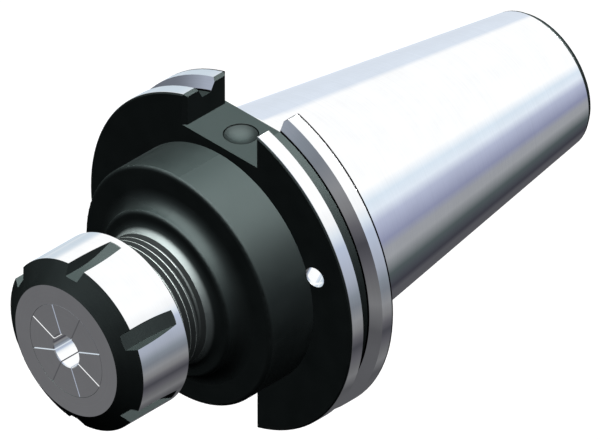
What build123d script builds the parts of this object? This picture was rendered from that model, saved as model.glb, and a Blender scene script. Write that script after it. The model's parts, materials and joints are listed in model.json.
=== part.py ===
from build123d import *
import math
import os

# Collet chuck holder with a steep 7/24 spindle taper, a slotted clamping nut and a slit collet.
# Sizes are in millimetres and angles in degrees. X is the turning axis, +Z is up, and the
# origin is on the axis at the gauge plane, where the taper has its gauge diameter.
# +X runs to the small end of the taper, and the nut and the collet are at the -X end.

# Spindle taper and its small end
gauge_diameter = 69.85
taper_length = 101.6
taper_ratio = 7 / 24
end_chamfer_length = 1.3
end_chamfer_depth = 0.75

# Thread for the retention knob, a plain wall at its root diameter, with its pilot counterbore
knob_thread_diameter = 25.4
knob_thread_length = 38.0
knob_pilot_diameter = 26.2
knob_pilot_depth = 8.0
tail_bore_diameter = 18.0
drill_half_angle = 59.0

# Flange
flange_gap = 3.175
flange_width = 15.875
flange_diameter = 98.43
flange_front_chamfer = 0.45
flange_back_chamfer = 0.4
groove_offset = 11.1
groove_width = 7.2
groove_depth = 3.59
groove_half_angle = 30.0

# Drive slots across the flange, one up and one down, and the dimple in the upper floor
drive_slot_width = 25.9
drive_slot_bevel = 1.0
upper_floor_height = 37.5
lower_floor_height = 35.5
dimple_diameter = 9.7
dimple_depth = 2.2

# Slanting port in the flange's front face, beside the hub
port_diameter = 5.7
port_drill_diameter = 4.9
port_tilt = 34.0
port_angle = 19.9
port_radius = 37.7
port_step_depth = 1.7
port_depth = 13.0

# Hub, step and neck in front of the flange
hub_diameter = 69.85
hub_length = 15.88
step_height = 5.25
step_length = 5.27
step_fillet = 4.2
edge_round = 1.0
neck_length = 2.9
short_land = 0.05

# Nose thread, cut at its core diameter
nose_thread_diameter = 38.1
nose_thread_pitch = 2.0
nose_thread_depth_ratio = 0.6134
nose_thread_flank_angle = 30.0
nose_thread_gap = 12.1
nose_chamfer = 0.8
socket_mouth_chamfer = 0.4
socket_end_gap = 2.5

# Collet
collet_length = 40.0
collet_face_diameter = 27.0
collar_length = 2.2
collar_chamfer = 0.05
collet_groove_diameter = 24.8
collet_groove_width = 2.6
front_cone_start_diameter = 26.4
front_cone_half_angle = 30.0
collet_diameter = 32.0
collet_land = 1.0
collet_half_angle = 8.0
collet_rear_chamfer = 0.5
tool_bore_diameter = 9.525
tool_bore_length = 30.0
tool_bore_chamfer = 0.25
rear_relief_diameter = 10.8
slit_count = 8
slit_width = 0.35
front_slit_angle = 22.5
front_slit_bridge = 5.0
rear_slit_bridge = 6.0

# Clamping nut
nut_length = 21.0
nut_diameter = 50.0
nut_face_diameter = 38.1
nut_chamfer_length = 4.0
nut_back_chamfer = 0.3
nut_mouth_chamfer = 0.7
nut_overhang = 12.0
nut_thread_relief = 1.2
lip_offset = 0.8
lip_front_gap = 0.2
lip_back_gap = 0.4
wrench_slot_count = 6
wrench_slot_width = 6.0
wrench_slot_depth = 2.9
wrench_slot_draft = 18.0
wrench_slot_flat = 6.6
wrench_slot_cutter_radius = 27.0

# Clearances
socket_clearance = 0.05
cone_clearance = 0.06
collar_clearance = 0.06
land_clearance = 0.6
thread_clearance = 0.2
cutter_margin = 1.0

# Radii
gauge_radius = gauge_diameter / 2
flange_radius = flange_diameter / 2
hub_radius = hub_diameter / 2
neck_radius = nose_thread_diameter / 2
step_radius = neck_radius + step_height
nose_core_radius = neck_radius - nose_thread_depth_ratio * nose_thread_pitch
tail_bore_radius = tail_bore_diameter / 2
knob_thread_radius = knob_thread_diameter / 2
knob_pilot_radius = knob_pilot_diameter / 2
collet_radius = collet_diameter / 2
collar_radius = collet_face_diameter / 2
nut_radius = nut_diameter / 2
nut_bore_radius = neck_radius + thread_clearance

# Places along the axis, from the gauge plane forward to the nut's face
flange_back_x = -flange_gap
flange_front_x = flange_back_x - flange_width
groove_x = -groove_offset
hub_front_x = flange_front_x - hub_length
step_front_x = hub_front_x - step_length
neck_front_x = step_front_x - neck_length
nut_back_x = neck_front_x - nose_thread_gap
nut_face_x = nut_back_x - nut_length
nose_face_x = nut_face_x + nut_overhang

# Places along the collet, from its face, which is flush with the nut's face
collet_face_x = nut_face_x
collar_back_x = collet_face_x + collar_length
front_cone_x = collar_back_x + collet_groove_width
front_cone_rise = collet_radius - front_cone_start_diameter / 2
land_x = front_cone_x + front_cone_rise / math.tan(math.radians(front_cone_half_angle))
rear_cone_x = land_x + collet_land
collet_back_x = collet_face_x + collet_length


def rear_cone_radius(x):
    """Radius of the collet's long rear cone at a place along the axis."""
    return collet_radius - (x - rear_cone_x) * math.tan(math.radians(collet_half_angle))


def front_cone_radius(x):
    """Radius of the collet's short front cone at a place along the axis."""
    return collet_radius - (land_x - x) * math.tan(math.radians(front_cone_half_angle))


def taper_radius(x):
    """Radius of the spindle taper at a place along the axis."""
    return gauge_radius - x * taper_ratio / 2


def cross_plane(x, angle):
    """Plane across the axis, facing the nut's face. Its y direction is radial, turned from +Z about +X."""
    turn = math.radians(angle)
    return Plane(
        origin=(x, 0, 0),
        x_dir=(0, -math.cos(turn), -math.sin(turn)),
        z_dir=(-1, 0, 0),
    )


# Holder body: one turned and ground piece from the nose to the taper's small end
neck_fillet = min(neck_length, step_height - edge_round) - short_land
step_rise = hub_radius - edge_round - step_radius
step_reach = min(step_fillet, step_length - edge_round - short_land, step_rise - short_land)
groove_bottom_radius = flange_radius - groove_depth
groove_half_width = groove_width / 2
groove_bottom_half = groove_half_width - groove_depth * math.tan(math.radians(groove_half_angle))
small_end_radius = taper_radius(taper_length)
nose_core_depth = neck_radius - nose_core_radius
core_flank_length = nose_core_depth * math.tan(math.radians(nose_thread_flank_angle))

with BuildPart() as holder_body:
    with BuildSketch(Plane.XZ):
        with BuildLine():
            Polyline(
                (nose_face_x, 0),
                (nose_face_x, nose_core_radius - nose_chamfer),
                (nose_face_x + nose_chamfer, nose_core_radius),
                (neck_front_x - core_flank_length, nose_core_radius),
                (neck_front_x, neck_radius),
                (step_front_x - neck_fillet, neck_radius),
            )
            TangentArc(
                (step_front_x - neck_fillet, neck_radius),
                (step_front_x, neck_radius + neck_fillet),
                tangent=(1, 0),
            )
            Line((step_front_x, neck_radius + neck_fillet), (step_front_x, step_radius - edge_round))
            TangentArc(
                (step_front_x, step_radius - edge_round),
                (step_front_x + edge_round, step_radius),
                tangent=(0, 1),
            )
            Line((step_front_x + edge_round, step_radius), (hub_front_x - step_reach, step_radius))
            TangentArc(
                (hub_front_x - step_reach, step_radius),
                (hub_front_x, step_radius + step_reach),
                tangent=(1, 0),
            )
            Line((hub_front_x, step_radius + step_reach), (hub_front_x, hub_radius - edge_round))
            TangentArc(
                (hub_front_x, hub_radius - edge_round),
                (hub_front_x + edge_round, hub_radius),
                tangent=(0, 1),
            )
            Polyline(
                (hub_front_x + edge_round, hub_radius),
                (flange_front_x, hub_radius),
                (flange_front_x, flange_radius - flange_front_chamfer),
                (flange_front_x + flange_front_chamfer, flange_radius),
                (groove_x - groove_half_width, flange_radius),
                (groove_x - groove_bottom_half, groove_bottom_radius),
                (groove_x + groove_bottom_half, groove_bottom_radius),
                (groove_x + groove_half_width, flange_radius),
                (flange_back_x - flange_back_chamfer, flange_radius),
                (flange_back_x, flange_radius - flange_back_chamfer),
                (flange_back_x, gauge_radius),
                (0, gauge_radius),
                (taper_length - end_chamfer_length, taper_radius(taper_length - end_chamfer_length)),
                (taper_length, small_end_radius - end_chamfer_depth),
                (taper_length, 0),
                (nose_face_x, 0),
            )
        make_face()
    revolve(axis=Axis.X)

    # Collet socket, tail bore, retention thread and its pilot, in one run along the axis
    socket_mouth_radius = rear_cone_radius(nose_face_x) + socket_clearance
    socket_end_x = collet_back_x + socket_end_gap
    socket_end_radius = rear_cone_radius(socket_end_x) + socket_clearance
    pilot_x = taper_length - knob_pilot_depth
    knob_thread_x = pilot_x - knob_thread_length
    drill_tip_length = (knob_thread_radius - tail_bore_radius) / math.tan(math.radians(drill_half_angle))
    with BuildSketch(Plane.XZ):
        with BuildLine():
            Polyline(
                (nose_face_x, 0),
                (nose_face_x, socket_mouth_radius + socket_mouth_chamfer),
                (nose_face_x + socket_mouth_chamfer, socket_mouth_radius),
                (socket_end_x, socket_end_radius),
                (socket_end_x, tail_bore_radius),
                (knob_thread_x - drill_tip_length, tail_bore_radius),
                (knob_thread_x, knob_thread_radius),
                (pilot_x, knob_thread_radius),
                (pilot_x, knob_pilot_radius),
                (taper_length, knob_pilot_radius),
                (taper_length, 0),
                (nose_face_x, 0),
            )
        make_face()
    revolve(axis=Axis.X, mode=Mode.SUBTRACT)

    # Drive slots, open to the front, the back and outward, bevelled at the flange's faces and rims
    slot_reach = flange_radius + cutter_margin
    slot_half = drive_slot_width / 2
    slot_mouth_half = slot_half + drive_slot_bevel + cutter_margin
    rim_lean = math.asin(slot_half / flange_radius)
    bevel_foot = flange_radius * math.cos(rim_lean) - drive_slot_bevel
    bevel_half = slot_half + (slot_reach - bevel_foot) * math.cos(rim_lean) / (1 - math.sin(rim_lean))
    for floor_height, side in ((upper_floor_height, 1), (lower_floor_height, -1)):
        with BuildSketch(Plane.XY.offset(side * floor_height)):
            with BuildLine():
                Polyline(
                    (flange_back_x + cutter_margin, slot_mouth_half),
                    (flange_back_x - drive_slot_bevel, slot_half),
                    (flange_front_x + drive_slot_bevel, slot_half),
                    (flange_front_x - cutter_margin, slot_mouth_half),
                    (flange_front_x - cutter_margin, -slot_mouth_half),
                    (flange_front_x + drive_slot_bevel, -slot_half),
                    (flange_back_x - drive_slot_bevel, -slot_half),
                    (flange_back_x + cutter_margin, -slot_mouth_half),
                    (flange_back_x + cutter_margin, slot_mouth_half),
                )
            make_face()
        extrude(amount=side * (slot_reach - floor_height), mode=Mode.SUBTRACT)
        with BuildSketch(Plane.YZ.offset(flange_front_x)):
            with BuildLine():
                Polyline(
                    (-slot_half, side * bevel_foot),
                    (slot_half, side * bevel_foot),
                    (bevel_half, side * slot_reach),
                    (-bevel_half, side * slot_reach),
                    (-slot_half, side * bevel_foot),
                )
            make_face()
        extrude(amount=flange_width, mode=Mode.SUBTRACT)

    # Ball-shaped dimple in the upper floor, in line with the V-groove
    dimple_radius = dimple_diameter / 2
    ball_radius = (dimple_radius**2 + dimple_depth**2) / (2 * dimple_depth)
    with Locations((groove_x, 0, upper_floor_height - dimple_depth + ball_radius)):
        Sphere(ball_radius, mode=Mode.SUBTRACT)

    # Slanting port: its mouth leans away from the axis and clips the root of the hub
    port_turn = math.radians(port_angle)
    port_lean = math.radians(port_tilt)
    port_y = -port_radius * math.cos(port_turn)
    port_z = port_radius * math.sin(port_turn)
    port_inward = Vector(
        math.cos(port_lean),
        math.sin(port_lean) * math.cos(port_turn),
        -math.sin(port_lean) * math.sin(port_turn),
    )
    port_plane = Plane(
        origin=(flange_front_x, port_y, port_z),
        x_dir=port_inward,
        z_dir=(0, math.sin(port_turn), math.cos(port_turn)),
    )
    port_mouth_radius = port_diameter / 2
    port_drill_radius = port_drill_diameter / 2
    port_step_length = port_mouth_radius - port_drill_radius
    port_tip_length = port_drill_radius / math.tan(math.radians(drill_half_angle))
    with BuildSketch(port_plane):
        with BuildLine():
            Polyline(
                (-port_diameter, 0),
                (-port_diameter, port_mouth_radius),
                (port_step_depth, port_mouth_radius),
                (port_step_depth + port_step_length, port_drill_radius),
                (port_depth, port_drill_radius),
                (port_depth + port_tip_length, 0),
                (-port_diameter, 0),
            )
        make_face()
    revolve(axis=Axis(port_plane.origin, port_plane.x_dir), mode=Mode.SUBTRACT)

# Collet: a slit sleeve with a long rear cone, a short front cone and a groove for the nut's lip
with BuildPart() as collet:
    rear_radius = rear_cone_radius(collet_back_x)
    rear_chamfer_x = collet_back_x - collet_rear_chamfer
    with BuildSketch(Plane.XZ):
        with BuildLine():
            Polyline(
                (collet_face_x, 0),
                (collet_face_x, collar_radius - collar_chamfer),
                (collet_face_x + collar_chamfer, collar_radius),
                (collar_back_x, collar_radius),
                (collar_back_x, collet_groove_diameter / 2),
                (front_cone_x, collet_groove_diameter / 2),
                (front_cone_x, front_cone_radius(front_cone_x)),
                (land_x, collet_radius),
                (rear_cone_x, collet_radius),
                (rear_chamfer_x, rear_cone_radius(rear_chamfer_x)),
                (collet_back_x, rear_radius - collet_rear_chamfer),
                (collet_back_x, 0),
                (collet_face_x, 0),
            )
        make_face()
    revolve(axis=Axis.X)

    # Tool bore, open at the face, with a wider relief behind it
    tool_bore_radius = tool_bore_diameter / 2
    relief_x = collet_face_x + tool_bore_length
    with BuildSketch(Plane.XZ):
        with BuildLine():
            Polyline(
                (collet_face_x, 0),
                (collet_face_x, tool_bore_radius + tool_bore_chamfer),
                (collet_face_x + tool_bore_chamfer, tool_bore_radius),
                (relief_x, tool_bore_radius),
                (relief_x, rear_relief_diameter / 2),
                (collet_back_x, rear_relief_diameter / 2),
                (collet_back_x, 0),
                (collet_face_x, 0),
            )
        make_face()
    revolve(axis=Axis.X, mode=Mode.SUBTRACT)

    # Slits from the face and, half a step round, slits from the back, measured from +Y towards +Z
    slit_reach = collet_radius + cutter_margin
    rear_slit_angle = front_slit_angle + 180 / slit_count
    front_slit_length = collet_length - front_slit_bridge
    rear_slit_length = collet_length - rear_slit_bridge
    with BuildSketch(Plane.YZ.offset(collet_face_x)):
        with PolarLocations(slit_reach / 2, slit_count, start_angle=front_slit_angle):
            Rectangle(slit_reach, slit_width)
    extrude(amount=front_slit_length, mode=Mode.SUBTRACT)
    with BuildSketch(Plane.YZ.offset(collet_back_x)):
        with PolarLocations(slit_reach / 2, slit_count, start_angle=rear_slit_angle):
            Rectangle(slit_reach, slit_width)
    extrude(amount=-rear_slit_length, mode=Mode.SUBTRACT)

# Clamping nut: its cone presses the collet in, and its off-centre lip pulls the collet out
with BuildPart() as clamping_nut:
    with BuildSketch(Plane.XZ):
        with BuildLine():
            Polyline(
                (nut_face_x, 0),
                (nut_face_x, nut_face_diameter / 2),
                (nut_face_x + nut_chamfer_length, nut_radius),
                (nut_back_x - nut_back_chamfer, nut_radius),
                (nut_back_x, nut_radius - nut_back_chamfer),
                (nut_back_x, 0),
                (nut_face_x, 0),
            )
        make_face()
    revolve(axis=Axis.X)

    # Inside from the lip back: cone, clearance over the collet's land, and thread core
    lip_front_x = collar_back_x + lip_front_gap
    lip_back_x = front_cone_x - lip_back_gap
    nut_thread_x = nose_face_x - nut_thread_relief
    land_clear_radius = collet_radius + land_clearance
    with BuildSketch(Plane.XZ):
        with BuildLine():
            Polyline(
                (lip_back_x, 0),
                (lip_back_x, front_cone_radius(lip_back_x) + cone_clearance),
                (land_x, collet_radius + cone_clearance),
                (land_x, land_clear_radius),
                (nut_thread_x, land_clear_radius),
                (nut_thread_x, nut_bore_radius),
                (nut_back_x - nut_mouth_chamfer, nut_bore_radius),
                (nut_back_x, nut_bore_radius + nut_mouth_chamfer),
                (nut_back_x, 0),
                (lip_back_x, 0),
            )
        make_face()
    revolve(axis=Axis.X, mode=Mode.SUBTRACT)

    # Round opening for the collet's collar, and the off-centre hole behind it
    opening_radius = collar_radius + collar_clearance
    with BuildSketch(Plane.YZ.offset(nut_face_x)):
        Circle(opening_radius)
    extrude(amount=lip_front_x - nut_face_x, mode=Mode.SUBTRACT)
    with BuildSketch(Plane.YZ.offset(lip_front_x)):
        with Locations((0, -lip_offset)):
            Circle(opening_radius)
    extrude(amount=lip_back_x - lip_front_x, mode=Mode.SUBTRACT)

    # Wrench slots with leaning walls: open and flat at the face, then out along the cutter's arc
    slot_floor_radius = nut_radius - wrench_slot_depth
    slot_top_radius = nut_radius + cutter_margin
    slot_lean = math.tan(math.radians(wrench_slot_draft))
    slot_floor_half = wrench_slot_width / 2 - wrench_slot_depth * slot_lean
    slot_top_half = wrench_slot_width / 2 + cutter_margin * slot_lean
    cutter_rise = slot_top_radius - slot_floor_radius
    cutter_turn = math.degrees(math.acos(1 - cutter_rise / wrench_slot_cutter_radius))
    for index in range(wrench_slot_count):
        slot_plane = cross_plane(nut_face_x + wrench_slot_flat, index * 360 / wrench_slot_count)
        cutter_centre = slot_plane.from_local_coords((0, slot_floor_radius + wrench_slot_cutter_radius, 0))
        with BuildSketch(slot_plane) as slot_section:
            with BuildLine():
                Polyline(
                    (-slot_floor_half, slot_floor_radius),
                    (slot_floor_half, slot_floor_radius),
                    (slot_top_half, slot_top_radius),
                    (-slot_top_half, slot_top_radius),
                    (-slot_floor_half, slot_floor_radius),
                )
            make_face()
        extrude(amount=wrench_slot_flat + cutter_margin, mode=Mode.SUBTRACT)
        revolve(
            slot_section.sketch,
            axis=Axis(cutter_centre, slot_plane.x_dir),
            revolution_arc=cutter_turn,
            mode=Mode.SUBTRACT,
        )

os.makedirs("parts", exist_ok=True)
holder_body.part.label = "holder_body"
export_step(holder_body.part, "parts/holder_body.step")
collet.part.label = "collet"
export_step(collet.part, "parts/collet.step")
clamping_nut.part.label = "clamping_nut"
export_step(clamping_nut.part, "parts/clamping_nut.step")
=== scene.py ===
import json
import math
from typing import NamedTuple

import bmesh
import bpy
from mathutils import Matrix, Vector

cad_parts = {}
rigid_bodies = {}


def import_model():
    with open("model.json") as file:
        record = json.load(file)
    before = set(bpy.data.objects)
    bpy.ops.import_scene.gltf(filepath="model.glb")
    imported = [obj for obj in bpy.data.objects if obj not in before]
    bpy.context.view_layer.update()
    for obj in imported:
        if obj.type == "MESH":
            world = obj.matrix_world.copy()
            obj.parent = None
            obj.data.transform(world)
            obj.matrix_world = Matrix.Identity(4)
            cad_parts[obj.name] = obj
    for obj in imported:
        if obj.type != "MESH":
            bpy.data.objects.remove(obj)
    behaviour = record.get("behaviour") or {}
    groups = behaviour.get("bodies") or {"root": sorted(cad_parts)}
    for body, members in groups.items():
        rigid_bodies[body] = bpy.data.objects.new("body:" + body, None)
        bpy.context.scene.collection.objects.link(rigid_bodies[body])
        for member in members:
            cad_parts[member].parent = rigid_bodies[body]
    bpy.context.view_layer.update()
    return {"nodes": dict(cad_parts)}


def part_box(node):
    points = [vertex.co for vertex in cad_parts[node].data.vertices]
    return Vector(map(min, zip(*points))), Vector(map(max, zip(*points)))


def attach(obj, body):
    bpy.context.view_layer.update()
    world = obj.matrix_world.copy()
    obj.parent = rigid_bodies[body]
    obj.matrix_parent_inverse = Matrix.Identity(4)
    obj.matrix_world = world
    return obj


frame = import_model()

# The frame of the CAD part: +X is the turning axis and +Z is up. Blender works in metres, and the
# places below are in millimetres from the gauge plane, or from the axis where they are radii.
MM = 0.001
NUT_BACK_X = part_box("clamping_nut")[1].x / MM
NUT_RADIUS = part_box("clamping_nut")[1].y / MM
NOSE_FACE_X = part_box("holder_body")[0].x / MM
SMALL_END_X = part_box("holder_body")[1].x / MM

# Holder, from the small end forward
END_CHAMFER = 1.3
TAIL_BORE_BACK_X = 54.5
TAPER_FOOT_RADIUS = 35.15
FLANGE_BACK_X = -3.175
FLANGE_FRONT_X = -19.05
FLANGE_RADIUS = 49.215
FLANGE_CHAMFER = 0.4
GROOVE_X = -11.1
GROOVE_HALF_WIDTH = 3.6
GROOVE_BOTTOM_RADIUS = 45.625
SLOT_HALF_WIDTH = 12.95
SLOT_BEVEL = 1.0
LOWER_SLOT_FLOOR = 35.5
UPPER_SLOT_FLOOR = 37.5
DIMPLE_RADIUS = 4.85
STEP_FRONT_X = -40.20
NECK_FRONT_X = -43.10
NECK_RADIUS = 19.05
NOSE_BORE_RADIUS = 17.2

# Slanting port: the middle of its mouth, and the direction of its drilling
PORT_RADIUS = 2.85
PORT_PLACE_RADIUS = 37.7
PORT_ANGLE = math.radians(19.9)
PORT_TILT = math.radians(34)
port_mouth = Vector((
    FLANGE_FRONT_X,
    -PORT_PLACE_RADIUS * math.cos(PORT_ANGLE),
    PORT_PLACE_RADIUS * math.sin(PORT_ANGLE),
))
port_inward = Vector((
    math.cos(PORT_TILT),
    math.sin(PORT_TILT) * math.cos(PORT_ANGLE),
    -math.sin(PORT_TILT) * math.sin(PORT_ANGLE),
))

# Nut and collet
NUT_FACE_RADIUS = 19.05
COLLAR_RADIUS = 13.5

# Photograph: an isometric view, 600 pixels wide, at 3.7716 pixels to the millimetre
VIEW_AZIMUTH = math.radians(-45)
VIEW_ELEVATION = math.asin(math.tan(math.radians(30)))
PIXELS_PER_METRE = 3771.6
IMAGE_WIDTH = 600
AIM = Vector((4.05, -6.86, 5.68)) * MM
LENS = 1220

to_camera = Vector((
    math.sin(VIEW_AZIMUTH) * math.cos(VIEW_ELEVATION),
    -math.cos(VIEW_AZIMUTH) * math.cos(VIEW_ELEVATION),
    math.sin(VIEW_ELEVATION),
))
view_right = Vector((0, 0, 1)).cross(to_camera).normalized()
view_up = to_camera.cross(view_right)

# A mask passes the edge that it follows by about MARGIN, and it fades over BLUR
MARGIN = 0.075
BLUR = 0.05


class Nodes:
    """Short names for building a shader's nodes. A mask is a number from 0 to 1."""

    def __init__(self, tree):
        self.tree = tree
        tree.nodes.clear()

    def add(self, kind, **settings):
        node = self.tree.nodes.new(kind)
        for name, value in settings.items():
            setattr(node, name, value)
        return node

    def link(self, value, socket):
        """Sets a socket to a plain value, or links it to another node's output."""
        if isinstance(value, bpy.types.NodeSocket):
            self.tree.links.new(value, socket)
        else:
            socket.default_value = value

    def math(self, operation, *values, clamp=False):
        node = self.add("ShaderNodeMath", operation=operation, use_clamp=clamp)
        for value, socket in zip(values, node.inputs):
            self.link(value, socket)
        return node.outputs[0]

    def vector(self, operation, *values, output=0):
        node = self.add("ShaderNodeVectorMath", operation=operation)
        for value, socket in zip(values, node.inputs):
            self.link(value, socket)
        return node.outputs[output]

    def scale(self, value, factor):
        node = self.add("ShaderNodeVectorMath", operation="SCALE")
        self.link(value, node.inputs[0])
        self.link(factor, node.inputs["Scale"])
        return node.outputs[0]

    def dot(self, value, direction):
        return self.vector("DOT_PRODUCT", value, direction, output="Value")

    def length(self, first, second):
        """The length of a step that has these two parts, square to each other."""
        squares = (self.math("MULTIPLY", first, first), self.math("MULTIPLY", second, second))
        return self.math("SQRT", self.math("ADD", *squares))

    def join(self, *values):
        node = self.add("ShaderNodeCombineXYZ")
        for value, socket in zip(values, node.inputs):
            self.link(value, socket)
        return node.outputs[0]

    def split(self, value):
        node = self.add("ShaderNodeSeparateXYZ")
        self.link(value, node.inputs[0])
        return node.outputs

    def step(self, value, low, high):
        """0 below low and 1 above high, with a smooth rise between them. Where low is above high,
        it is 1 below high and 0 above low."""
        node = self.add("ShaderNodeMapRange", interpolation_type="SMOOTHSTEP")
        ends = (low, high, 0.0, 1.0) if low <= high else (high, low, 1.0, 0.0)
        for number, socket in zip((value, *ends), node.inputs):
            self.link(number, socket)
        return node.outputs[0]

    def above(self, value, limit, blur=BLUR):
        return self.step(value, limit - blur / 2, limit + blur / 2)

    def below(self, value, limit, blur=BLUR):
        return self.step(value, limit + blur / 2, limit - blur / 2)

    def between(self, value, low, high):
        return self.all_of(self.above(value, low), self.below(value, high))

    def outside(self, mask):
        return self.math("SUBTRACT", 1.0, mask)

    def all_of(self, *masks):
        share = masks[0]
        for mask in masks[1:]:
            share = self.math("MULTIPLY", share, mask)
        return share

    def any_of(self, *masks):
        share = masks[0]
        for mask in masks[1:]:
            share = self.math("MAXIMUM", share, mask)
        return share

    def mix(self, share, first, second, kind="FLOAT"):
        """Blends two numbers, or two colours of kind RGBA. Where they are the same, it adds no node."""
        if first == second:
            return first
        node = self.add("ShaderNodeMix", data_type=kind)
        place = {"FLOAT": 2, "RGBA": 6}[kind]
        self.link(share, node.inputs[0])
        self.link(first, node.inputs[place])
        self.link(second, node.inputs[place + 1])
        return node.outputs[{"FLOAT": 0, "RGBA": 2}[kind]]

    def mix_shaders(self, share, first, second):
        node = self.add("ShaderNodeMixShader")
        for value, socket in zip((share, first, second), node.inputs):
            self.link(value, socket)
        return node.outputs[0]

    def noise(self, vector, scale, detail, roughness=0.5):
        node = self.add("ShaderNodeTexNoise")
        self.link(vector, node.inputs["Vector"])
        node.inputs["Scale"].default_value = scale
        node.inputs["Detail"].default_value = detail
        node.inputs["Roughness"].default_value = roughness
        return node.outputs["Fac"]

    def bands(self, share, stops):
        """Colours by a share from 0 to 1, with stops given as (place from -1 to 1, shown colour)."""
        node = self.add("ShaderNodeValToRGB")
        elements = node.color_ramp.elements
        while len(elements) < len(stops):
            elements.new(0.5)
        for element, (place, shown) in zip(elements, stops):
            element.position = (place + 1) / 2
            element.color = light_of(shown)
        self.link(share, node.inputs[0])
        return node.outputs[0]


def light_of(shown):
    """A colour as a screen shows it, from 0 to 255, as the light that gives it."""
    shares = [value / 255 for value in shown]
    light = (c / 12.92 if c <= 0.04045 else ((c + 0.055) / 1.055) ** 2.4 for c in shares)
    return (*light, 1.0)


def finish(colour, roughness, glare):
    """A finish of bare or oxidised steel. glare is how much of its shine at a low angle is left."""
    return ((*colour, 1.0), roughness, (glare, glare, glare, 1.0))


POLISHED = finish((0.86, 0.87, 0.88), 0.0, 0.90)
OXIDE = finish((0.0145, 0.0180, 0.0176), 0.55, 0.0)
# The next finish is painted shade: a near black for dark lines in edges and corners
EDGE_SHADE = finish((0.0006, 0.0006, 0.0006), 0.60, 0.0)
SATIN = finish((0.072, 0.083, 0.081), 0.60, 0.0)
FLANK = finish((0.036, 0.041, 0.040), 0.58, 0.0)
# The next finish is a painted highlight: brighter steel laid on the crests of the threads
CREST_HIGHLIGHT = finish((0.140, 0.156, 0.150), 0.60, 0.0)
MATTE = finish((0.30, 0.30, 0.31), 0.50, 0.0)


def lay(n, share, under, over):
    """Lays one finish over another by a mask."""
    kinds = ("RGBA", "FLOAT", "RGBA")
    return tuple(n.mix(share, a, b, kind=kind) for a, b, kind in zip(under, over, kinds))


class Surface:
    """What a material knows about the place that it shades, in millimetres. forward is 1 where the
    surface faces the nut's end, and outward is 1 where it faces away from the axis."""

    def __init__(self, n):
        coordinates = n.add("ShaderNodeTexCoord")
        self.place = n.scale(coordinates.outputs["Object"], 1 / MM)
        self.x, self.y, self.z = n.split(self.place)
        self.radius = n.length(self.y, self.z)
        nx, ny, nz = n.split(coordinates.outputs["Normal"])
        self.forward = n.math("MULTIPLY", nx, -1.0)
        outward = n.math("ADD", n.math("MULTIPLY", self.y, ny), n.math("MULTIPLY", self.z, nz))
        self.outward = n.math("DIVIDE", outward, self.radius)


# Marks in the steel: lines left by turning or grinding, and wide faint marks of handling
LINES_PER_MM = 3.0
LINE_DRIFT_PER_MM = 0.02
MARKS_PER_MM = 0.16
LINE_RELIEF = 0.004
LINE_RELIEF_STRENGTH = 0.15


def turned_lines(n, s):
    """Fine lines that run round the axis, on cylinders and on faces."""
    along = n.math("MULTIPLY", s.x, LINES_PER_MM)
    outward = n.math("MULTIPLY", s.radius, LINES_PER_MM)
    across = n.math("MULTIPLY", n.math("ADD", s.y, s.z), LINE_DRIFT_PER_MM)
    return n.noise(n.join(along, outward, across), 1.0, detail=3.0, roughness=0.6)


def varied(n, lines, marks, by_lines, by_marks):
    """A factor of about 1, which the lines and the marks change by so much from end to end."""
    lined = n.math("MULTIPLY_ADD", lines, by_lines, 1 - (by_lines + by_marks) / 2)
    return n.math("MULTIPLY_ADD", marks, by_marks, lined)


def steel_material(name, choose_finish):
    """A steel whose finish is chosen place by place by choose_finish(n, s). Turning lines and faint
    marks vary its colour, its roughness and its surface."""
    material = bpy.data.materials.new(name)
    material.use_nodes = True
    n = Nodes(material.node_tree)
    s = Surface(n)
    colour, roughness, glare = choose_finish(n, s)
    lines = turned_lines(n, s)
    marks = n.noise(s.place, MARKS_PER_MM, detail=4.0)
    shade = varied(n, lines, marks, by_lines=0.10, by_marks=0.10)
    wear = varied(n, lines, marks, by_lines=0.16, by_marks=0.24)
    shader = n.add("ShaderNodeBsdfPrincipled")
    shader.inputs["Metallic"].default_value = 1.0
    n.link(n.scale(colour, shade), shader.inputs["Base Color"])
    n.link(n.math("MULTIPLY", roughness, wear), shader.inputs["Roughness"])
    n.link(glare, shader.inputs["Specular Tint"])
    bump = n.add("ShaderNodeBump")
    bump.inputs["Strength"].default_value = LINE_RELIEF_STRENGTH
    bump.inputs["Distance"].default_value = LINE_RELIEF * MM
    n.link(lines, bump.inputs["Height"])
    n.link(bump.outputs[0], shader.inputs["Normal"])
    n.link(shader.outputs[0], n.add("ShaderNodeOutputMaterial").inputs[0])
    return material


# Where the finishes change: how far the oxide runs past the end chamfer, where the neck's satin
# fades out in its foot, and the cosine above which a surface counts as facing a way
END_BAND = 0.5
NECK_FOOT_RADIUS = NECK_RADIUS + 0.75
NECK_FOOT_BLUR = 0.8
FACING = 0.925

# Dark lines of painted shade in the edges, as widths or as (start, end) from the edge
REAR_LINE = 0.42
GROOVE_LINE = (0.04, 0.47)
DIMPLE_LINE = (0.035, 0.26)


def drive_slots(n, s):
    """The walls and floors of the two drive slots, and their bevels at the flange's rims."""
    aside = n.math("SUBTRACT", n.math("ABSOLUTE", s.y), SLOT_HALF_WIDTH)
    height = n.math("ABSOLUTE", s.z)
    walls = n.all_of(n.below(aside, MARGIN / 2), n.above(height, LOWER_SLOT_FLOOR - MARGIN))
    lean = math.asin(SLOT_HALF_WIDTH / FLANGE_RADIUS)
    rise = (1 - math.sin(lean)) / math.cos(lean)
    foot = FLANGE_RADIUS * math.cos(lean) - SLOT_BEVEL
    over_bevel = n.math("SUBTRACT", height, n.math("MULTIPLY_ADD", aside, rise, foot))
    return n.any_of(walls, n.above(over_bevel, -MARGIN / 2))


def near_line(n, s, point, direction, reach):
    """What lies within reach of a line."""
    offset = n.vector("SUBTRACT", s.place, point)
    away = n.vector("LENGTH", n.vector("CROSS_PRODUCT", offset, direction), output="Value")
    return n.below(away, reach)


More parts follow.
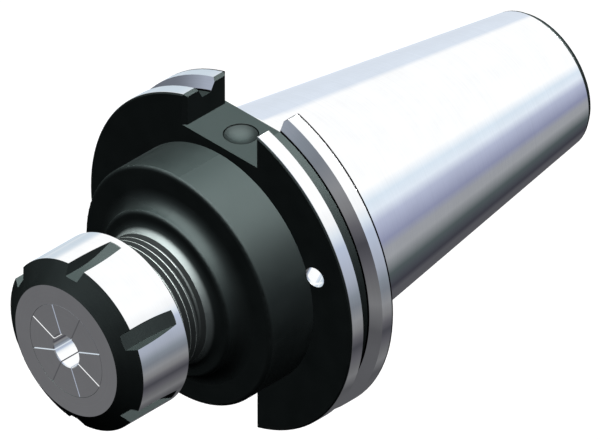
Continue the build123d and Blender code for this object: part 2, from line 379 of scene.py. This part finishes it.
def ground_bright(n, s, slots):
    """What is bright in front of the taper: the flange's rims and the flanks of its groove, the
    port, the bores, and the corner where the flange's back meets the taper's foot."""
    rims = n.above(s.radius, FLANGE_RADIUS - MARGIN)
    reach = GROOVE_HALF_WIDTH + MARGIN
    flanks = n.all_of(
        n.above(s.radius, GROOVE_BOTTOM_RADIUS + MARGIN),
        n.between(s.x, GROOVE_X - reach, GROOVE_X + reach),
    )
    port = n.all_of(
        near_line(n, s, port_mouth, port_inward, PORT_RADIUS + MARGIN),
        n.above(s.x, FLANGE_FRONT_X + BLUR / 2),
    )
    bores = n.all_of(n.below(s.radius, NOSE_BORE_RADIUS), n.below(s.x, TAIL_BORE_BACK_X))
    corner = n.all_of(n.above(s.x, FLANGE_BACK_X - MARGIN), n.below(s.radius, TAPER_FOOT_RADIUS))
    outside_slots = n.all_of(n.any_of(rims, flanks), n.outside(slots))
    return n.any_of(outside_slots, port, bores, corner)


def painted_edge_shade(n, s, slots):
    """Painted shade as dark lines in three edges: at the flange's back rim, in the groove's rear
    corner, and round the dimple in the upper drive slot."""
    rim_edge = n.all_of(
        n.above(s.x, FLANGE_BACK_X - FLANGE_CHAMFER - REAR_LINE),
        n.below(s.x, FLANGE_BACK_X + MARGIN),
        n.above(s.radius, FLANGE_RADIUS - FLANGE_CHAMFER - MARGIN),
    )
    start, end = GROOVE_LINE
    groove_corner = n.all_of(
        n.between(s.radius, GROOVE_BOTTOM_RADIUS + start, GROOVE_BOTTOM_RADIUS + end),
        n.between(s.x, GROOVE_X + MARGIN, GROOVE_X + GROOVE_HALF_WIDTH - MARGIN),
        n.outside(slots),
    )
    start, end = DIMPLE_LINE
    from_dimple = n.length(n.math("SUBTRACT", s.x, GROOVE_X), s.y)
    dimple_edge = n.all_of(
        n.below(from_dimple, DIMPLE_RADIUS + MARGIN),
        n.between(s.z, UPPER_SLOT_FLOOR - end, UPPER_SLOT_FLOOR - start),
    )
    return n.any_of(rim_edge, groove_corner, dimple_edge)


def holder_finish(n, s):
    """Black oxide from the thread to the flange and at the small end. The taper and what
    ground_bright names are polished, the neck is satin, and three edges carry a dark line of painted
    shade."""
    slots = drive_slots(n, s)
    front = n.below(s.x, FLANGE_BACK_X + MARGIN)
    small_end = n.above(s.x, SMALL_END_X - END_CHAMFER - END_BAND)
    dark = n.any_of(n.all_of(front, n.outside(ground_bright(n, s, slots))), small_end)
    neck = n.all_of(
        n.below(s.radius, NECK_FOOT_RADIUS, blur=NECK_FOOT_BLUR),
        n.between(s.x, NECK_FRONT_X, STEP_FRONT_X),
    )
    nose = n.all_of(n.below(s.x, NECK_FRONT_X), n.above(s.radius, NOSE_BORE_RADIUS))
    chosen = lay(n, dark, POLISHED, OXIDE)
    chosen = lay(n, neck, chosen, SATIN)
    chosen = lay(n, nose, chosen, FLANK)
    return lay(n, painted_edge_shade(n, s, slots), chosen, EDGE_SHADE)


def nut_finish(n, s):
    """Polished outside and on the face. Black oxide in the chamfer, the wrench slots and inside."""
    outside = n.all_of(n.above(s.radius, NUT_RADIUS - MARGIN), n.above(s.outward, FACING))
    face = n.all_of(n.above(s.forward, FACING), n.below(s.radius, NUT_FACE_RADIUS + MARGIN))
    return lay(n, n.any_of(outside, face), OXIDE, POLISHED)


def collet_finish(n, s):
    """Ground bright, and matte round the collar."""
    collar = n.all_of(n.below(s.forward, FACING), n.above(s.radius, COLLAR_RADIUS - 2 * MARGIN))
    return lay(n, collar, POLISHED, MATTE)


def finish_frame():
    """Gives each CAD node its steel. Mirrors show the studio and not the other pieces, as in the
    photograph."""
    finishes = {"holder_body": holder_finish, "clamping_nut": nut_finish, "collet": collet_finish}
    for node, choose_finish in finishes.items():
        material = steel_material(node + "_steel", choose_finish)
        item = frame["nodes"][node]
        item.visible_glossy = False
        for slot in item.material_slots:
            slot.material = material


class Ridge(NamedTuple):
    """A thread's ridge: its crest runs forward from first_x, at first_angle in degrees, to last_x."""

    root_radius: float
    crest_radius: float
    pitch: float
    crest_flat: float
    first_x: float
    first_angle: float
    last_x: float

    @property
    def inward(self):
        return self.crest_radius < self.root_radius


NOSE_RIDGE = Ridge(
    root_radius=17.823,
    crest_radius=NECK_RADIUS,
    pitch=2.0,
    crest_flat=0.16,
    first_x=-44.7,
    first_angle=-12.0,
    last_x=NOSE_FACE_X + 1.0,
)

# The nut's ridge lies half a pitch beside the nose's, and starts about NUT_RIDGE_INSET inside its back
NUT_RIDGE_INSET = 1.2
pitches_to_nut = round((NOSE_RIDGE.first_x - NUT_BACK_X + NUT_RIDGE_INSET) / NOSE_RIDGE.pitch)
NUT_RIDGE = NOSE_RIDGE._replace(
    root_radius=19.25,
    crest_radius=17.97,
    first_x=NOSE_RIDGE.first_x - (pitches_to_nut + 0.5) * NOSE_RIDGE.pitch,
    last_x=-64.8,
)

# The thread that takes a retention knob
KNOB_RIDGE = Ridge(
    root_radius=12.7,
    crest_radius=11.1,
    pitch=3.175,
    crest_flat=0.8,
    first_x=92.0,
    first_angle=0.0,
    last_x=57.2,
)

# How a ridge is made: it fades out over RIDGE_FADE of a turn down to RIDGE_STUB of its height, its
# foot is sunk in the wall, and a painted highlight lies on its crest; the last number is how far
# below the crest that painted highlight reaches
RIDGE_STEPS_PER_TURN = 90
RIDGE_FADE = 0.2
RIDGE_STUB = 0.02
RIDGE_SINK = 0.05
FLANK_SLOPE = math.tan(math.radians(30))
HIGHLIGHT_DEPTH = 0.03


def turned_point(x, radius, turn):
    """A place by its angle, from the viewer's side (-Y) up towards +Z, in metres."""
    return Vector((x, -radius * math.cos(turn), radius * math.sin(turn))) * MM


def ridge_mesh(name, ridge):
    """A right-hand ridge wound round the axis, closed at both ends."""
    base = ridge.root_radius + (RIDGE_SINK if ridge.inward else -RIDGE_SINK)
    height = abs(ridge.crest_radius - base)
    turns = (ridge.first_x - ridge.last_x) / ridge.pitch
    mesh = bmesh.new()
    rings = []
    for step in range(int(turns * RIDGE_STEPS_PER_TURN) + 1):
        turned = step / RIDGE_STEPS_PER_TURN
        fade = min(1.0, max(RIDGE_STUB, min(turned, turns - turned) / RIDGE_FADE))
        x = ridge.first_x - ridge.pitch * turned
        turn = math.radians(ridge.first_angle) + 2 * math.pi * turned
        crest = base + (ridge.crest_radius - base) * fade
        half_crest = ridge.crest_flat / 2
        half_base = half_crest + height * FLANK_SLOPE * fade
        section = ((-half_base, base), (-half_crest, crest), (half_crest, crest), (half_base, base))
        rings.append([mesh.verts.new(turned_point(x + dx, r, turn)) for dx, r in section])
    for first, second in zip(rings, rings[1:]):
        for i in range(4):
            j = (i + 1) % 4
            mesh.faces.new((first[i], first[j], second[j], second[i])).smooth = True
            mesh.edges.get((first[i], second[i])).smooth = False
    mesh.faces.new(rings[0])
    mesh.faces.new(rings[-1])
    bmesh.ops.recalc_face_normals(mesh, faces=mesh.faces)
    data = bpy.data.meshes.new(name)
    mesh.to_mesh(data)
    mesh.free()
    return data


def thread(name, body, ridge):
    """A piece of the scene that winds a ridge on a body, with dark flanks and a crest painted bright as
    a highlight.
    """
    def choose_finish(n, s):
        # The crest is painted brighter than the flanks, as a highlight
        if ridge.inward:
            crest = n.below(s.radius, ridge.crest_radius + HIGHLIGHT_DEPTH)
        else:
            crest = n.above(s.radius, ridge.crest_radius - HIGHLIGHT_DEPTH)
        return lay(n, crest, FLANK, CREST_HIGHLIGHT)

    data = ridge_mesh(name, ridge)
    data.materials.append(steel_material(name + "_steel", choose_finish))
    item = bpy.data.objects.new(name, data)
    bpy.context.scene.collection.objects.link(item)
    item.visible_glossy = False
    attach(item, body)


# The studio that polished steel mirrors. Places in it are those on a mirror ball seen from the
# photograph's side, from -1 at its bottom or left to 1 at its top or right. Its bands run from the
# floor up to the sky, tilted a little, as (height, colour shown on a screen).
BAND_TILT = math.radians(7)
BAND_GAIN = 1.16
STUDIO_BANDS = (
    (-1.00, (84, 84, 87)),
    (-0.68, (88, 88, 91)),
    (-0.62, (82, 82, 85)),
    (-0.545, (116, 116, 118)),
    (-0.50, (105, 105, 107)),
    (-0.45, (92, 91, 96)),
    (-0.385, (68, 68, 74)),
    (-0.335, (96, 95, 100)),
    (-0.295, (123, 123, 125)),
    (-0.24, (136, 137, 140)),
    (-0.17, (119, 124, 132)),
    (-0.12, (129, 136, 145)),
    (-0.05, (158, 164, 177)),
    (0.03, (170, 177, 193)),
    (0.13, (182, 192, 211)),
    (0.19, (220, 228, 236)),
    (0.25, (244, 245, 246)),
    (0.34, (255, 255, 255)),
    (1.00, (255, 255, 255)),
)

# A haze lies overhead and in the upper left, and the far left is shaded. Each pair gives where such
# a place begins and where it is full.
HAZE = (207, 219, 229)
OVERHEAD = (0.892, 0.908)
HAZE_LEFT = (-0.30, -0.42)
HAZE_UPPER = (0.2, 0.5)
FAR_LEFT = (-0.70, -0.82)
FAR_LEFT_SHADE = 0.4

# The taper leans a little towards +X, and mirrors a stretch of the studio with bands of its own.
# Each pair gives where that stretch begins and where it is full, by the lean towards +X.
TAPER_BEGINS = (0.08, 0.11)
TAPER_ENDS = (0.21, 0.18)
TAPER_HAZE = (221, 229, 240)
TAPER_BANDS = (
    (-0.60, (86, 86, 90)),
    (-0.50, (84, 84, 89)),
    (-0.44, (60, 60, 68)),
    (-0.38, (70, 74, 80)),
    (-0.31, (78, 87, 89)),
    (-0.17, (152, 154, 158)),
    (-0.10, (151, 153, 159)),
    (-0.03, (138, 142, 168)),
    (0.12, (178, 184, 206)),
    (0.20, (224, 232, 242)),
    (0.27, (217, 229, 240)),
    (0.36, (255, 255, 255)),
)

# The world's light on everything that is not a mirror
DIM_STRENGTH = 0.25
WHITE = (1, 1, 1, 1)


def mirror_ball(n, direction):
    """Where a mirror ball shows the light from a direction, as its height and its side, and how far
    the ball's surface leans towards +X there. The small term keeps the division off zero."""
    toward = n.dot(direction, to_camera)
    spread = n.math("SQRT", n.math("MULTIPLY", n.math("ADD", toward, 1.0001), 2.0))
    height = n.math("DIVIDE", n.dot(direction, view_up), spread)
    side = n.math("DIVIDE", n.dot(direction, view_right), spread)
    along_axis = n.math("ADD", n.dot(direction, (1, 0, 0)), to_camera.x)
    return height, side, n.math("DIVIDE", along_axis, spread)


def mirrored_light(n, direction):
    """The studio's colour in a direction."""
    height, side, lean = mirror_ball(n, direction)
    upward = n.math("MULTIPLY", height, math.cos(BAND_TILT))
    tilted = n.math("MULTIPLY_ADD", side, math.sin(BAND_TILT), upward)
    share = n.math("MULTIPLY_ADD", tilted, 0.5, 0.5, clamp=True)
    taper = n.all_of(n.step(lean, *TAPER_BEGINS), n.step(lean, *TAPER_ENDS))
    bands = n.mix(taper, n.bands(share, STUDIO_BANDS), n.bands(share, TAPER_BANDS), kind="RGBA")
    haze = n.mix(taper, light_of(HAZE), light_of(TAPER_HAZE), kind="RGBA")
    upper_left = n.all_of(n.step(side, *HAZE_LEFT), n.step(tilted, *HAZE_UPPER))
    hazy = n.any_of(n.step(height, *OVERHEAD), upper_left)
    shade = n.mix(n.step(side, *FAR_LEFT), 1.0, FAR_LEFT_SHADE)
    return n.scale(n.mix(hazy, bands, haze, kind="RGBA"), shade)


def background(n, colour, strength):
    node = n.add("ShaderNodeBackground")
    n.link(colour, node.inputs["Color"])
    node.inputs["Strength"].default_value = strength
    return node.outputs[0]


def studio_world():
    """White to the camera, banded to mirrors, and dim to everything else."""
    world = bpy.data.worlds.new("studio")
    bpy.context.scene.world = world
    world.use_nodes = True
    n = Nodes(world.node_tree)
    direction = n.add("ShaderNodeTexCoord").outputs["Generated"]
    path = n.add("ShaderNodeLightPath").outputs
    dim = background(n, WHITE, DIM_STRENGTH)
    mirrored = background(n, mirrored_light(n, direction), BAND_GAIN)
    light = n.mix_shaders(path["Is Glossy Ray"], dim, mirrored)
    light = n.mix_shaders(path["Is Camera Ray"], light, background(n, WHITE, 1.0))
    n.link(light, n.add("ShaderNodeOutputWorld").inputs[0])


# The key lamp's highlight lies at KEY_PEAK on a cylinder round the axis, from the viewer's side up,
# on a surface that leans KEY_LEAN towards the nut
KEY_PEAK = math.radians(72)
KEY_LEAN = math.radians(12)
KEY_STRENGTH = 28.0
KEY_SPREAD = math.radians(100)
SOFT_DIRECTION = Vector((0.3, -0.2, 0.93))
SOFT_STRENGTH = 1.6
SOFT_SPREAD = math.radians(50)


def sun(name, direction, strength, spread):
    """A distant lamp. direction points from the object to the lamp."""
    data = bpy.data.lights.new(name, "SUN")
    data.energy = strength
    data.angle = spread
    lamp = bpy.data.objects.new(name, data)
    bpy.context.scene.collection.objects.link(lamp)
    lamp.rotation_mode = "QUATERNION"
    lamp.rotation_quaternion = direction.to_track_quat("Z", "Y")
    return lamp


def lamps():
    """A key lamp that the dark finishes shine in, and a soft lamp that lays the shadow on the floor.
    Sharp mirrors do not find the key lamp, and the collet is left out of it."""
    peak = Vector((
        -math.sin(KEY_LEAN),
        -math.cos(KEY_LEAN) * math.cos(KEY_PEAK),
        math.cos(KEY_LEAN) * math.sin(KEY_PEAK),
    ))
    key = sun("key_lamp", 2 * to_camera.dot(peak) * peak - to_camera, KEY_STRENGTH, KEY_SPREAD)
    key.visible_diffuse = False
    key.data.use_shadow = False
    key.data.cycles.use_multiple_importance_sampling = False
    lit = bpy.data.collections.new("lit_by_key")
    for item in bpy.context.scene.objects:
        if item.type == "MESH" and item != frame["nodes"]["collet"]:
            lit.objects.link(item)
    key.light_linking.receiver_collection = lit
    soft = sun("soft_lamp", SOFT_DIRECTION, SOFT_STRENGTH, SOFT_SPREAD)
    soft.visible_glossy = False


# Floor, in metres
FLOOR_REACH = 3.0
FLOOR_LEVEL = -0.19


def floor():
    """A pale floor well below the object, which is held by its taper."""
    mesh = bpy.data.meshes.new("floor")
    corners = ((-1, -1), (1, -1), (1, 1), (-1, 1))
    places = [(FLOOR_REACH * x, FLOOR_REACH * y, FLOOR_LEVEL) for x, y in corners]
    mesh.from_pydata(places, [], [(0, 1, 2, 3)])
    plane = bpy.data.objects.new("floor", mesh)
    bpy.context.scene.collection.objects.link(plane)
    material = bpy.data.materials.new("floor_paper")
    material.use_nodes = True
    shader = material.node_tree.nodes["Principled BSDF"]
    shader.inputs["Base Color"].default_value = (0.8, 0.8, 0.8, 1)
    shader.inputs["Roughness"].default_value = 0.9
    shader.inputs["Emission Color"].default_value = WHITE
    shader.inputs["Emission Strength"].default_value = 0.5
    mesh.materials.append(material)
    plane.visible_glossy = False
    plane.visible_diffuse = False


def camera():
    """A very long lens, which keeps the view nearly parallel, as the photograph's is."""
    data = bpy.data.cameras.new("camera")
    data.lens = LENS
    data.sensor_fit = "HORIZONTAL"
    distance_to_aim = IMAGE_WIDTH / PIXELS_PER_METRE * LENS / data.sensor_width
    data.clip_start = 0.1
    data.clip_end = distance_to_aim * 3
    item = bpy.data.objects.new("camera", data)
    bpy.context.scene.collection.objects.link(item)
    item.location = AIM + to_camera * distance_to_aim
    item.rotation_mode = "QUATERNION"
    item.rotation_quaternion = to_camera.to_track_quat("Z", "Y")
    bpy.context.scene.camera = item


bpy.context.scene.view_settings.view_transform = "Standard"
finish_frame()
thread("nose_thread", "holder", NOSE_RIDGE)
thread("nut_thread", "nut", NUT_RIDGE)
thread("knob_thread", "holder", KNOB_RIDGE)
studio_world()
lamps()
floor()
camera()
